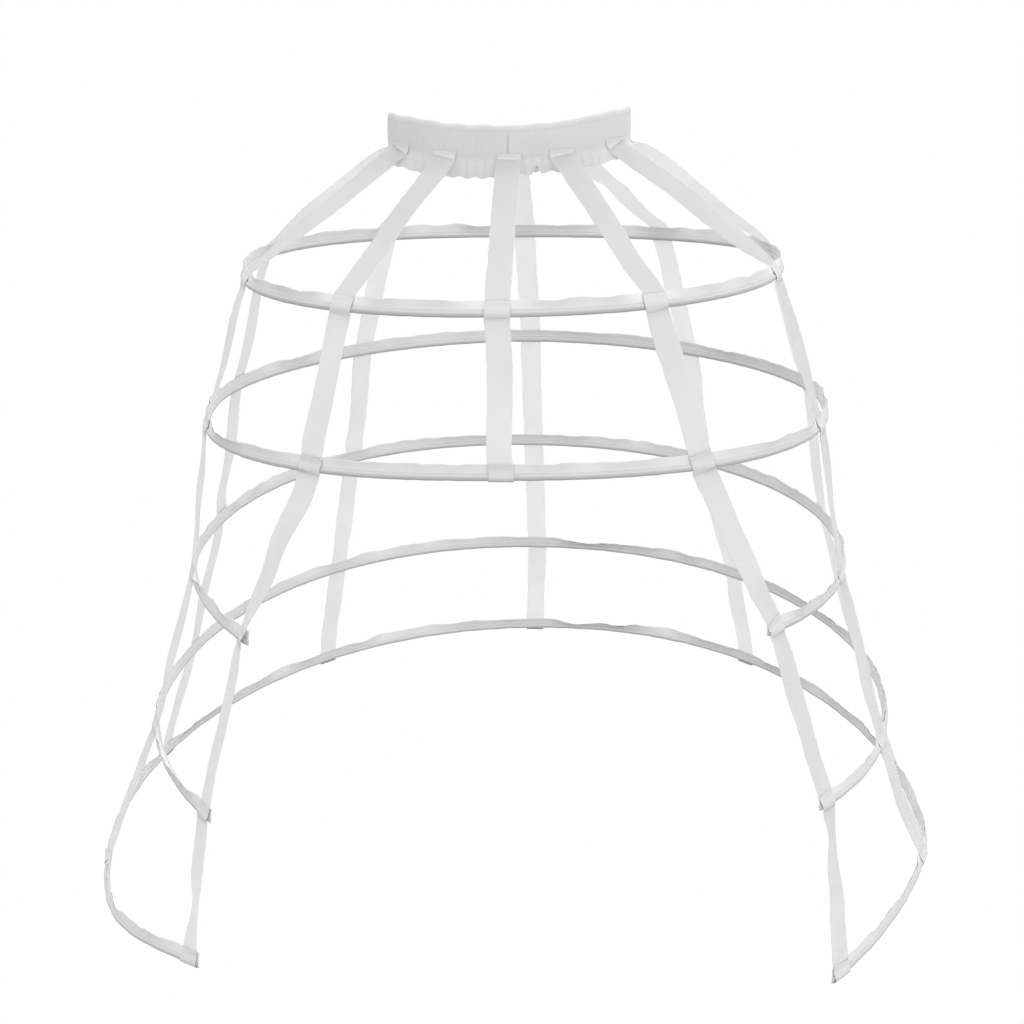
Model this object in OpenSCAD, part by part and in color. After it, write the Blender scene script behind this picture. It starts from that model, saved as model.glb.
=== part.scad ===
// Crinoline cage: an elastic waistband, ten tapes and five sprung hoops in cloth casings.
// The upper two hoops are closed ovals, the lower three are open at the front.
// Millimetres. The origin is the middle of the waistband, +Z is up and -Y is the front.

/* [Waistband] */
// Width of the waistband's oval from its middle to the left end, and to the right end
waist_half_width = [126, 119.5]; // [110:0.5:142]
// Half depth of the waistband's oval
waist_half_depth = 60; // [50:1:75]
// Height of the waistband
waist_height = 46; // [42:1:56]
// Thickness of the waistband's folded casing, both walls and the space between them
waist_thickness = 6; // [5.5:0.5:8]
// How far the sides of the waistband ride above its middle level
waist_side_rise = 9; // [0:0.5:14]
// How far the back of the waistband hangs below its front
waist_back_dip = 18; // [0:1:24]
// Sideways lean of the waistband, in degrees
waist_lean = 1.75; // [0:0.25:3]
// Height of the elastic inside the waistband
elastic_height = 28; // [20:1:30]
// Angles round the waistband of the left tapes: front, side front, side back, back
waist_left_angles = [31, 62, 107, 147.5]; // [0:0.5:180]
// Angles round the waistband of the right tapes: front, side front, side back, back
waist_right_angles = [26, 62, 107, 147.5]; // [0:0.5:180]
// Depth of a tape's upper edge, and of the sewing that holds it, below the waistband's middle
tape_sewn = [4.5, 10.5]; // [2:0.5:16]

/* [Hoop 1] */
// Level of the bone below the waistband
hoop_1_drop = 142.5; // [130:0.5:160]
// Half width
hoop_1_half_width = 288.5; // [270:0.5:305]
// Depth from the middle to the front
hoop_1_front_depth = 288; // [265:1:300]
// Depth from the middle to the back
hoop_1_back_depth = 270; // [260:1:295]
// How far the middle sits behind the waistband's middle
hoop_1_shift = 75; // [55:1:90]
// Slope from front to back, positive raises the back
hoop_1_tilt = -2; // [-4:0.5:4]
// How far the middle sits to the right of the waistband's middle
hoop_1_side_shift = -3; // [-6:0.5:6]
// Height by which the hoop twists, right front against left front
hoop_1_twist = 1; // [-6:0.5:6]
// Height by which the front and back bow up against the sides
hoop_1_bow = -2.5; // [-6:0.5:6]
// Fullness of the front corners, left and right: 2 is an ellipse, more is squarer
hoop_1_front_fullness = [2.25, 2.25]; // [1.6:0.01:2.6]
// Fullness of the back corners
hoop_1_back_fullness = 2.25; // [1.6:0.01:2.6]
// Angles of the left tapes: front, side front, side back, back
hoop_1_left = [29.5, 70, 104.5, 148]; // [0:0.5:180]
// Angles of the right tapes: front, side front, side back, back
hoop_1_right = [29, 73.5, 103.5, 148]; // [0:0.5:180]

/* [Hoop 2] */
// Level of the bone below the waistband
hoop_2_drop = 300; // [290:0.5:325]
// Half width
hoop_2_half_width = 338.5; // [325:0.5:360]
// Depth from the middle to the front
hoop_2_front_depth = 299; // [275:1:310]
// Depth from the middle to the back
hoop_2_back_depth = 347; // [315:1:380]
// How far the middle sits behind the waistband's middle
hoop_2_shift = 81; // [60:1:95]
// Slope from front to back, positive raises the back
hoop_2_tilt = -0.5; // [-3:0.5:4]
// How far the middle sits to the right of the waistband's middle
hoop_2_side_shift = 1; // [-6:0.5:6]
// Height by which the hoop twists, right front against left front
hoop_2_twist = 1; // [-6:0.5:6]
// Height by which the front and back bow up against the sides
hoop_2_bow = -1; // [-6:0.5:6]
// Fullness of the front corners, left and right: 2 is an ellipse, more is squarer
hoop_2_front_fullness = [2.45, 2.45]; // [1.6:0.01:2.6]
// Fullness of the back corners
hoop_2_back_fullness = 1.8; // [1.6:0.01:2.6]
// Angles of the left tapes: front, side front, side back, back
hoop_2_left = [30, 72.5, 105, 141]; // [0:0.5:180]
// Angles of the right tapes: front, side front, side back, back
hoop_2_right = [31, 72, 105.5, 142]; // [0:0.5:180]

/* [Hoop 3] */
// Level of the bone below the waistband
hoop_3_drop = 488; // [470:1:505]
// Half width
hoop_3_half_width = 372; // [360:1:390]
// Depth from the middle to the front
hoop_3_front_depth = 406; // [385:1:420]
// Depth from the middle to the back
hoop_3_back_depth = 408; // [390:1:425]
// How far the middle sits behind the waistband's middle
hoop_3_shift = 122; // [105:1:140]
// Slope from front to back, positive raises the back
hoop_3_tilt = 2; // [-2:0.5:5]
// How far the middle sits to the right of the waistband's middle
hoop_3_side_shift = 0.5; // [-6:0.5:6]
// Height by which the hoop twists, right front against left front
hoop_3_twist = 3.5; // [-6:0.5:6]
// Height by which the front and back bow up against the sides
hoop_3_bow = 0.5; // [-6:0.5:6]
// Fullness of the front corners, left and right: 2 is an ellipse, more is squarer
hoop_3_front_fullness = [1.9, 1.9]; // [1.6:0.01:2.6]
// Fullness of the back corners
hoop_3_back_fullness = 2.06; // [1.6:0.01:2.6]
// Height by which the two front ends wave against each other
hoop_3_end_wave = -4.5; // [-25:0.5:25]
// Angles of the left tapes: front, side front, side back, back
hoop_3_left = [49, 75.5, 103, 142]; // [0:0.5:180]
// Angles of the right tapes: front, side front, side back, back
hoop_3_right = [49.5, 77, 106, 143.5]; // [0:0.5:180]

/* [Hoop 4] */
// Level of the bone below the waistband
hoop_4_drop = 678; // [660:1:695]
// Half width
hoop_4_half_width = 427; // [410:1:440]
// Depth from the middle to the front
hoop_4_front_depth = 453; // [430:1:465]
// Depth from the middle to the back
hoop_4_back_depth = 483; // [470:1:505]
// How far the middle sits behind the waistband's middle
hoop_4_shift = 130; // [110:1:145]
// Slope from front to back, positive raises the back
hoop_4_tilt = 3.5; // [-2:0.5:6]
// How far the middle sits to the right of the waistband's middle
hoop_4_side_shift = 3; // [-6:0.5:6]
// Height by which the hoop twists, right front against left front
hoop_4_twist = 3; // [-6:0.5:6]
// Height by which the front and back bow up against the sides
hoop_4_bow = 0.5; // [-6:0.5:6]
// Fullness of the front corners, left and right: 2 is an ellipse, more is squarer
hoop_4_front_fullness = [1.92, 1.92]; // [1.6:0.01:2.6]
// Fullness of the back corners
hoop_4_back_fullness = 2.06; // [1.6:0.01:2.6]
// Height by which the two front ends wave against each other
hoop_4_end_wave = -6; // [-25:0.5:25]
// Angles of the left tapes: front, side front, side back, back
hoop_4_left = [50, 76.5, 104, 142]; // [0:0.5:180]
// Angles of the right tapes: front, side front, side back, back
hoop_4_right = [53, 75, 108, 142]; // [0:0.5:180]

/* [Hoop 5] */
// Level of the bone below the waistband
hoop_5_drop = 849; // [830:1:870]
// Half width
hoop_5_half_width = 489; // [475:1:510]
// Depth from the middle to the front
hoop_5_front_depth = 444; // [425:1:460]
// Depth from the middle to the back
hoop_5_back_depth = 576; // [560:1:600]
// How far the middle sits behind the waistband's middle
hoop_5_shift = 137; // [115:1:150]
// Slope from front to back, positive raises the back
hoop_5_tilt = 4; // [-2:0.5:6]
// How far the middle sits to the right of the waistband's middle
hoop_5_side_shift = -4; // [-6:0.5:6]
// Height by which the hoop twists, right front against left front
hoop_5_twist = -3; // [-6:0.5:6]
// Height by which the front and back bow up against the sides
hoop_5_bow = 2; // [-6:0.5:6]
// Fullness of the front corners, left and right: 2 is an ellipse, more is squarer
hoop_5_front_fullness = [2.1, 2]; // [1.6:0.01:2.6]
// Fullness of the back corners
hoop_5_back_fullness = 2.06; // [1.6:0.01:2.6]
// Height by which the two front ends wave against each other
hoop_5_end_wave = 20; // [-25:0.5:25]
// Angles of the left tapes: front, side front, side back, back
hoop_5_left = [41.5, 82.5, 108.5, 144]; // [0:0.5:180]
// Angles of the right tapes: front, side front, side back, back
hoop_5_right = [48.5, 77, 104.5, 142.5]; // [0:0.5:180]

/* [Casings and bones] */
// Radius of the round spring bone
bone_radius = 2; // [1.5:0.1:2.1]
// Room between the bone and its casing
bone_room = 1.1; // [1:0.1:1.4]
// Thickness of the casing's cloth
cloth = 0.8; // [0.5:0.1:0.9]
// Height of the casing's flat upper edge above the bone's middle
flange_top = 13.5; // [11:0.5:17]
// How far an open hoop's casing runs on past its front tape
end_margin = 0; // [-2:1:8]
// Sideways lean of the whole cage, positive raises the right side
lean = 0.9; // [-1:0.1:1]

/* [Tapes] */
// Width of the tapes
tape_width = 25; // [20:1:26]
// Thickness of the tapes
tape_thickness = 1; // [0.6:0.1:1]

/* [Hidden] */

drop = [hoop_1_drop, hoop_2_drop, hoop_3_drop, hoop_4_drop, hoop_5_drop];
half_w = [hoop_1_half_width, hoop_2_half_width, hoop_3_half_width, hoop_4_half_width, hoop_5_half_width];
front_d = [hoop_1_front_depth, hoop_2_front_depth, hoop_3_front_depth, hoop_4_front_depth, hoop_5_front_depth];
back_d = [hoop_1_back_depth, hoop_2_back_depth, hoop_3_back_depth, hoop_4_back_depth, hoop_5_back_depth];
shift_y = [hoop_1_shift, hoop_2_shift, hoop_3_shift, hoop_4_shift, hoop_5_shift];
tilt = [hoop_1_tilt, hoop_2_tilt, hoop_3_tilt, hoop_4_tilt, hoop_5_tilt];
shift_x = [hoop_1_side_shift, hoop_2_side_shift, hoop_3_side_shift, hoop_4_side_shift, hoop_5_side_shift];
twist = [hoop_1_twist, hoop_2_twist, hoop_3_twist, hoop_4_twist, hoop_5_twist];
bow = [hoop_1_bow, hoop_2_bow, hoop_3_bow, hoop_4_bow, hoop_5_bow];
front_full = [hoop_1_front_fullness, hoop_2_front_fullness, hoop_3_front_fullness, hoop_4_front_fullness, hoop_5_front_fullness];
back_full = [hoop_1_back_fullness, hoop_2_back_fullness, hoop_3_back_fullness, hoop_4_back_fullness, hoop_5_back_fullness];
end_wave = [0, 0, hoop_3_end_wave, hoop_4_end_wave, hoop_5_end_wave];
left_angles = [hoop_1_left, hoop_2_left, hoop_3_left, hoop_4_left, hoop_5_left];
right_angles = [hoop_1_right, hoop_2_right, hoop_3_right, hoop_4_right, hoop_5_right];

// Angle between the sections of a hoop, and of the waistband
step = 7.5;
waist_step = 5.625;

cloth_white = "#e9e9e7";
tape_white = "#efefed";
steel = "#9a9da1";

function unit(v) = v / norm(v);
function power(v, e) = sign(v) * pow(abs(v), e);

// ---- Hoop line: angle 0 is the front, 90 the right side, 180 the back ----
function full(i, t) = cos(t) > 0 ? front_full[i][sin(t) < 0 ? 0 : 1] : back_full[i];
function hoop_xy(i, t) = let (e = 2 / full(i, t)) [
  shift_x[i] + half_w[i] * power(sin(t), e),
  shift_y[i] - (cos(t) > 0 ? front_d[i] : back_d[i]) * power(cos(t), e)];
function hoop_way(i, t) = hoop_xy(i, t + 0.5) - hoop_xy(i, t - 0.5);
function mm_per_degree(i, t) = norm(hoop_way(i, t));
// The open front ends rise on one side where they dip on the other, fading out at the hoop's sides
function end_lift(t) = let (a = t > 180 ? 360 - t : t)
  a > 95 ? 0 : (t > 180 ? -1 : 1) * sin(4.5 * (a - 55)) * (1 - pow(max(0, (a - 75) / 20), 2));
function hoop_level(i, t, p) = -drop[i] + p[1] * tan(tilt[i]) + p[0] * tan(lean)
  + twist[i] * sin(2 * t) + bow[i] * cos(2 * t) + end_wave[i] * end_lift(t);
// A point of hoop i's section at angle t: o[0] outwards, o[1] upwards from the bone's middle
function section_point(i, t, o) =
  let (p = hoop_xy(i, t), d = unit(hoop_way(i, t)), q = p + o[0] * [d[1], -d[0]])
  [q[0], q[1], hoop_level(i, t, p) + o[1]];
// The same on the straight stretch between two sections
function hoop_point(i, t, o) =
  let (a = floor((t - step / 2) / step) * step + step / 2, f = (t - a) / step)
  (1 - f) * section_point(i, a, o) + f * section_point(i, a + step, o);

// ---- Waistband line ----
function waist_xy(t) = [waist_half_width[sin(t) < 0 ? 0 : 1] * sin(t), -waist_half_depth * cos(t)];
function waist_way(t) = waist_xy(t + 0.5) - waist_xy(t - 0.5);
function waist_level(t) = -0.5 + waist_back_dip / 2 * cos(t) - waist_side_rise * cos(2 * t) + waist_xy(t)[0] * tan(waist_lean);
function waist_section_point(t, o) =
  let (p = waist_xy(t), d = unit(waist_way(t)), q = p + o[0] * [d[1], -d[0]])
  [q[0], q[1], waist_level(t) + o[1]];
function waist_point(t, o) =
  let (a = floor(t / waist_step) * waist_step, f = (t - a) / waist_step)
  (1 - f) * waist_section_point(a, o) + f * waist_section_point(a + waist_step, o);

// ---- Solids from rows of points ----
// A tube: each row is one closed convex ring
module tube(rows, closed) {
  n = len(rows);
  m = len(rows[0]);
  last = closed ? n - 1 : n - 2;
  sides = [for (r = [0:last], j = [0:m - 1])
    let (s = (r + 1) % n, k = (j + 1) % m)
    each [[r * m + j, s * m + j, s * m + k], [r * m + j, s * m + k, r * m + k]]];
  ends = closed ? [] : concat(
    [for (j = [1:m - 2]) [0, j, j + 1]],
    [for (j = [1:m - 2]) let (e = (n - 1) * m) [e, e + j + 1, e + j]]);
  polyhedron(points = [for (row = rows) each row], faces = concat(sides, ends));
}

// A folded band: each row runs along one face, and its partner row along the other
module band(face_rows, back_rows, closed) {
  n = len(face_rows);
  m = len(face_rows[0]);
  w = 2 * m;
  last = closed ? n - 1 : n - 2;
  faces = [for (r = [0:last], j = [0:m - 2])
    let (s = (r + 1) % n, a = r * w + j, b = s * w + j)
    each [[a, b, b + 1], [a, b + 1, a + 1],
          [a + m, b + m + 1, b + m], [a + m, a + m + 1, b + m + 1]]];
  edges = [for (r = [0:last])
    let (s = (r + 1) % n, a = r * w, b = s * w, c = a + m - 1, d = b + m - 1)
    each [[a, a + m, b + m], [a, b + m, b],
          [c, d, d + m], [c, d + m, c + m]]];
  ends = closed ? [] : [for (j = [0:m - 2])
    let (e = (n - 1) * w)
    each [[j, j + 1, m + j + 1], [j, m + j + 1, m + j],
          [e + j, e + m + j + 1, e + j + 1], [e + j, e + m + j, e + m + j + 1]]];
  polyhedron(points = [for (r = [0:n - 1]) each concat(face_rows[r], back_rows[r])], faces = concat(faces, edges, ends));
}

// ---- Casing section: cloth folded round the bone, its two edges lying together above it ----
inner_r = bone_radius + bone_room;
outer_r = inner_r + cloth;
fold_gap = 0.15;
turns = [50, -6, -62, -118, -174, -230];
casing_face = concat(
  [[fold_gap + cloth, flange_top], [fold_gap + cloth, outer_r + 0.3]],
  [for (a = turns) outer_r * [cos(a), sin(a)]],
  [[-fold_gap - cloth, outer_r + 0.3], [-fold_gap - cloth, flange_top]]);
casing_back = concat(
  [[fold_gap, flange_top], [fold_gap, inner_r + 0.2]],
  [for (a = turns) inner_r * [cos(a), sin(a)]],
  [[-fold_gap, inner_r + 0.2], [-fold_gap, flange_top]]);
bone_ring = [for (a = [315:-45:0]) bone_radius * [cos(a), sin(a)]];

// Angles at which an open hoop's casing starts and stops, and its sections between
function past_tape(i, t) = (tape_width / 2 + end_margin) / mm_per_degree(i, t);
function start_angle(i) = right_angles[i][0] - past_tape(i, right_angles[i][0]);
function stop_angle(i) = 360 - (left_angles[i][0] - past_tape(i, left_angles[i][0]));
function stations(from, to) = concat([from],
  [for (k = [0:100]) let (t = step / 2 + k * step) if (t > from + 0.3 && t < to - 0.3) t], [to]);
function rows_at(i, angles, section) = [for (t = angles) [for (o = section) hoop_point(i, t, o)]];

module casing(i, closed) {
  angles = closed ? [for (k = [0:360 / step - 1]) step / 2 + k * step] : stations(start_angle(i), stop_angle(i));
  color(cloth_white) band(rows_at(i, angles, casing_face), rows_at(i, angles, casing_back), closed);
}

// A closed hoop's bone has its two ends butted at the back, inside the joiner
module closed_bone(i) {
  cut = 0.2 / mm_per_degree(i, 180);
  color(steel) tube(rows_at(i, stations(180 + cut, 540 - cut), bone_ring), false);
}

function bone_start(i) = start_angle(i) + 9 / mm_per_degree(i, start_angle(i));
function bone_stop(i) = stop_angle(i) - 9 / mm_per_degree(i, stop_angle(i));
module open_bone(i) {
  color(steel) tube(rows_at(i, stations(bone_start(i), bone_stop(i)), bone_ring), false);
}

module along(from, to) {
  d = unit(to - from);
  translate(from) rotate([0, acos(d[2]), atan2(d[1], d[0])]) children();
}

module joiner(i) {
  a = hoop_point(i, 180 - step / 2, [0, 0]);
  b = hoop_point(i, 180 + step / 2, [0, 0]);
  span = norm(b - a);
  color(steel) along(a, b) translate([0, 0, span / 2]) difference() {
    cylinder(r = bone_radius + 0.55, h = 30, center = true, $fn = 48);
    cylinder(r = bone_radius + 0.1, h = 32, center = true, $fn = 48);
  }
}

// A rounded cap on the end of an open bone
module tip(end, before) {
  color(tape_white) along(end, end + unit(end - before)) translate([0, 0, 0.6])
    rotate_extrude($fn = 48) polygon([[0, 0], [2.3, 0], [2.3, 3.4], [1.7, 4.6], [0, 5.2]]);
}

module tips() {
  for (i = [2:4]) {
    a = bone_start(i);
    b = bone_stop(i);
    tip(hoop_point(i, a, [0, 0]), hoop_point(i, a + 0.2, [0, 0]));
    tip(hoop_point(i, b, [0, 0]), hoop_point(i, b - 0.2, [0, 0]));
  }
}

// ---- Waistband: a gathered casing folded at its top, with the elastic inside ----
half_t = waist_thickness / 2;
half_h = waist_height / 2;
wall = 1.2;
waist_outside = [[half_t, -half_h], [half_t, half_h - 1.4], [half_t - 1.4, half_h],
  [-half_t + 1.4, half_h], [-half_t, half_h - 1.4], [-half_t, -half_h]];
waist_inside = [[half_t - wall, -half_h], [half_t - wall, half_h - 1.4 - wall / 2], [half_t - 1.4 - wall / 2, half_h - wall],
  [-half_t + 1.4 + wall / 2, half_h - wall], [-half_t + wall, half_h - 1.4 - wall / 2], [-half_t + wall, -half_h]];
waist_turns = [for (k = [0:360 / waist_step - 1]) k * waist_step];

module gathered_band() {
  color(cloth_white) band(
    [for (t = waist_turns) [for (o = waist_inside) waist_section_point(t, o)]],
    [for (t = waist_turns) [for (o = waist_outside) waist_section_point(t, o)]], true);
}

module elastic() {
  top = half_h - wall - 1;
  ring = [[0.9, top], [-0.9, top], [-0.9, top - elastic_height], [0.9, top - elastic_height]];
  color(tape_white) tube([for (t = waist_turns) [for (k = [3:-1:0]) waist_section_point(t, ring[k])]], true);
}

// ---- Tapes: sewn on the outside of the waistband, then over the outside of each hoop ----
columns = [-0.5, -0.25, 0, 0.25, 0.5];
function waist_row(t, o) = [for (c = columns) waist_point(t + c * tape_width / norm(waist_way(t)), o)];
function hoop_row(i, t, o) = [for (c = columns) hoop_point(i, t + c * tape_width / mm_per_degree(i, t), o)];
lie = fold_gap + cloth + 0.3;
proud = outer_r + 0.4;
on_waist = waist_thickness / 2 + 0.3;
over_hoop = [[lie, flange_top + 1.2], [lie, outer_r + 1.6], [proud, 2.6], [proud, -2.6]];
// Rows down a tape: angles[0] is on the waistband, the rest on hoops 1, 2, ...
function tape_rows(angles) = concat(
  [for (h = tape_sewn) waist_row(angles[0], [on_waist, -h])],
  [for (i = [0:len(angles) - 2], o = over_hoop) hoop_row(i, angles[i + 1], o)],
  [hoop_row(len(angles) - 2, angles[len(angles) - 1], [proud, -outer_r - 0.6])]);
function across(row) = unit(row[len(row) - 1] - row[0]);
function span_normal(rows, r, c) = unit(cross(unit(rows[r + 1][c] - rows[r][c]), across(rows[r]) + across(rows[r + 1])));
function outer_rows(rows) = let (n = len(rows)) [for (r = [0:n - 1]) [for (c = [0:len(columns) - 1])
  let (a = span_normal(rows, max(r - 1, 0), c), b = span_normal(rows, min(r, n - 2), c), m = unit(a + b))
  rows[r][c] + m * tape_thickness / max(0.6, m * b)]];

module tape(angles) {
  rows = tape_rows(angles);
  color(tape_white) band(rows, outer_rows(rows), false);
}
function left_tape(k) = concat([360 - waist_left_angles[k]], [for (i = [0:4]) 360 - left_angles[i][k]]);
function right_tape(k) = concat([waist_right_angles[k]], [for (i = [0:4]) right_angles[i][k]]);

module waistband() { gathered_band(); }
module waist_elastic() { elastic(); }
module hoop_1_casing() { casing(0, true); }
module hoop_2_casing() { casing(1, true); }
module hoop_3_casing() { casing(2, false); }
module hoop_4_casing() { casing(3, false); }
module hoop_5_casing() { casing(4, false); }
module hoop_1_bone() { closed_bone(0); }
module hoop_2_bone() { closed_bone(1); }
module hoop_3_bone() { open_bone(2); }
module hoop_4_bone() { open_bone(3); }
module hoop_5_bone() { open_bone(4); }
module hoop_1_joiner() { joiner(0); }
module hoop_2_joiner() { joiner(1); }
module bone_tips() { tips(); }
module front_centre_tape() { tape([360, 360, 360]); }
module back_centre_tape() { tape([180, 180, 180, 180, 180, 180]); }
module front_tape_left() { tape(left_tape(0)); }
module front_tape_right() { tape(right_tape(0)); }
module side_front_tape_left() { tape(left_tape(1)); }
module side_front_tape_right() { tape(right_tape(1)); }
module side_back_tape_left() { tape(left_tape(2)); }
module side_back_tape_right() { tape(right_tape(2)); }
module back_tape_left() { tape(left_tape(3)); }
module back_tape_right() { tape(right_tape(3)); }

waistband();
waist_elastic();
hoop_1_casing();
hoop_2_casing();
hoop_3_casing();
hoop_4_casing();
hoop_5_casing();
hoop_1_bone();
hoop_2_bone();
hoop_3_bone();
hoop_4_bone();
hoop_5_bone();
hoop_1_joiner();
hoop_2_joiner();
bone_tips();
front_centre_tape();
back_centre_tape();
front_tape_left();
front_tape_right();
side_front_tape_left();
side_front_tape_right();
side_back_tape_left();
side_back_tape_right();
back_tape_left();
back_tape_right();
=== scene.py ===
import math
import bpy
import numpy as np
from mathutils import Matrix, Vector


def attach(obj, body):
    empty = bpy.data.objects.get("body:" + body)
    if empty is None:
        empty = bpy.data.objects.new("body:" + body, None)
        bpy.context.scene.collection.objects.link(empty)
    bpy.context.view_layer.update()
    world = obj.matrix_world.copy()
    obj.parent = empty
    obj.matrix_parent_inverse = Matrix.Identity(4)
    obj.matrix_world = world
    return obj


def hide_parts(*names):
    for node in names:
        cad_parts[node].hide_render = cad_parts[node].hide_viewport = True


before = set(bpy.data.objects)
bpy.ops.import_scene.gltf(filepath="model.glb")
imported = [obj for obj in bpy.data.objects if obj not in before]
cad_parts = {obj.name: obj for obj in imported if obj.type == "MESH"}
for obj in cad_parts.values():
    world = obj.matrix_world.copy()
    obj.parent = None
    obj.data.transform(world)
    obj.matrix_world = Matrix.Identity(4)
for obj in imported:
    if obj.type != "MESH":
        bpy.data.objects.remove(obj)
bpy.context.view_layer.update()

bpy.context.scene.view_settings.view_transform = "Standard"

# ------------------------------------------------------------------ sizes, in millimetres and degrees
WAIST_W, WAIST_D = (126.0, 119.5), 60.0
SIDE_RISE, BACK_DIP = 9.0, 18.0
LEAN, WAIST_LEAN = 0.9, 1.75
DROP = [142.5, 300, 488, 678, 849]
HALF_W = [288.5, 338.5, 372, 427, 489]
FRONT_D = [288, 299, 406, 453, 444]
BACK_D = [270, 347, 408, 483, 576]
SHIFT_Y = [75, 81, 122, 130, 137]
SHIFT_X = [-3, 1, 0.5, 3, -4]
TILT = [-2, -0.5, 2, 3.5, 4]
TWIST = [1, 1, 3.5, 3, -3]
BOW = [-2.5, -1, 0.5, 0.5, 2]
FRONT_FULL = [(2.25, 2.25), (2.45, 2.45), (1.9, 1.9), (1.92, 1.92), (2.1, 2.0)]
BACK_FULL = [2.25, 1.8, 2.06, 2.06, 2.06]
END_WAVE = [0, 0, -4.5, -6, 20]
LEFT = [[29.5, 70, 104.5, 148], [30, 72.5, 105, 141], [49, 75.5, 103, 142], [50, 76.5, 104, 142], [41.5, 82.5, 108.5, 144]]
RIGHT = [[29, 73.5, 103.5, 148], [31, 72, 105.5, 142], [49.5, 77, 106, 143.5], [53, 75, 108, 142], [48.5, 77, 104.5, 142.5]]
WAIST_L = [31, 62, 107, 147.5]
WAIST_R = [26, 62, 107, 147.5]
STEP = 7.5               # degrees between the bends of a bone
END_PAST = 12.9          # how far an open casing runs past the middle of its front tape
TAN_LEAN = math.tan(math.radians(LEAN))


def unit(v):
    return v / np.maximum(np.linalg.norm(v, axis=-1, keepdims=True), 1e-9)


def power(v, e):
    return np.sign(v) * np.abs(v) ** e


def hoop_xy(i, t):
    a = np.radians(np.asarray(t, float))
    c, sn = np.cos(a), np.sin(a)
    e = 2 / np.where(c > 0, np.where(sn < 0, FRONT_FULL[i][0], FRONT_FULL[i][1]), BACK_FULL[i])
    x = SHIFT_X[i] + HALF_W[i] * power(sn, e)
    y = SHIFT_Y[i] - np.where(c > 0, FRONT_D[i], BACK_D[i]) * power(c, e)
    return np.stack([x, y], -1)


def hoop_way(i, t):
    t = np.asarray(t, float)
    return hoop_xy(i, t + 0.5) - hoop_xy(i, t - 0.5)


def mm_per_degree(i, t):
    return np.linalg.norm(hoop_way(i, t), axis=-1)


def hoop_level(i, t, p):
    t = np.mod(np.asarray(t, float), 360)
    a = np.where(t > 180, 360 - t, t)
    lift = np.where(a > 95, 0, np.where(t > 180, -1, 1) * np.sin(np.radians(4.5 * (a - 55))) * (1 - np.maximum(0, (a - 75) / 20) ** 2))
    r = np.radians(t)
    return (-DROP[i] + p[..., 1] * math.tan(math.radians(TILT[i])) + p[..., 0] * TAN_LEAN
            + TWIST[i] * np.sin(2 * r) + BOW[i] * np.cos(2 * r) + END_WAVE[i] * lift)


def hoop_basis(i, t):
    """Middle of the bone and the outward direction at angles t, on the bone's straight stretches."""
    t = np.asarray(t, float)

    def station(b):
        p = hoop_xy(i, b)
        d = unit(hoop_way(i, b))
        return np.concatenate([p, hoop_level(i, b, p)[..., None]], -1), np.stack([d[..., 1], -d[..., 0], np.zeros_like(d[..., 0])], -1)
    a = np.floor((t - STEP / 2) / STEP) * STEP + STEP / 2
    f = ((t - a) / STEP)[..., None]
    (c0, n0), (c1, n1) = station(a), station(a + STEP)
    return (1 - f) * c0 + f * c1, (1 - f) * n0 + f * n1


def hoop_point(i, t, out, up):
    c, n = hoop_basis(i, t)
    q = c + n * np.asarray(out)[..., None]
    q[..., 2] += up
    return q


def waist_xy(t):
    a = np.radians(np.asarray(t, float))
    return np.stack([np.where(np.sin(a) < 0, WAIST_W[0], WAIST_W[1]) * np.sin(a), -WAIST_D * np.cos(a)], -1)


def waist_way(t):
    t = np.asarray(t, float)
    return waist_xy(t + 0.5) - waist_xy(t - 0.5)


def waist_point(t, out, up):
    a = np.radians(np.asarray(t, float))
    p = waist_xy(t)
    d = waist_way(t)
    d = d / np.linalg.norm(d, axis=-1, keepdims=True)
    q = p + np.stack([d[..., 1], -d[..., 0]], -1) * np.asarray(out)[..., None]
    z = -0.5 + BACK_DIP / 2 * np.cos(a) - SIDE_RISE * np.cos(2 * a) + p[..., 0] * math.tan(math.radians(WAIST_LEAN))
    return np.concatenate([q, (z + up)[..., None]], -1)


# ------------------------------------------------------------------ small helpers
def waves(s, seed, shortest, longest, count=8, period=None):
    """Smooth seeded noise of about unit size; whole waves round a closed length."""
    rng = np.random.default_rng(seed)
    out = np.zeros_like(s, dtype=float)
    for _ in range(count):
        lam = shortest * (longest / shortest) ** rng.random()
        if period:
            lam = period / max(1, round(period / lam))
        out += rng.normal() * np.sin(2 * math.pi * s / lam + rng.random() * 2 * math.pi)
    return out / math.sqrt(count) * 1.2


def ease(x, keys):
    """Cosine-eased values between (place, value) keys."""
    k = np.array(sorted(keys), float)
    x = np.asarray(x, float)
    j = np.clip(np.searchsorted(k[:, 0], x, side="right") - 1, 0, len(k) - 2)
    f = np.clip((x - k[j, 0]) / (k[j + 1, 0] - k[j, 0]), 0, 1)
    f = f * f * (3 - 2 * f)
    return k[j, 1] * (1 - f) + k[j + 1, 1] * f


def smooth_rows(p, sigma):
    """Gaussian smoothing along the first axis, with the ends kept."""
    if sigma <= 0:
        return p
    h = int(math.ceil(3 * sigma))
    k = np.exp(-0.5 * (np.arange(-h, h + 1) / sigma) ** 2)
    k /= k.sum()
    first = 2 * p[0] - p[1:h + 1][::-1]
    last = 2 * p[-1] - p[-h - 1:-1][::-1]
    q = np.concatenate([first, p, last])
    return sum(w * q[j:j + len(p)] for j, w in enumerate(k))


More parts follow.
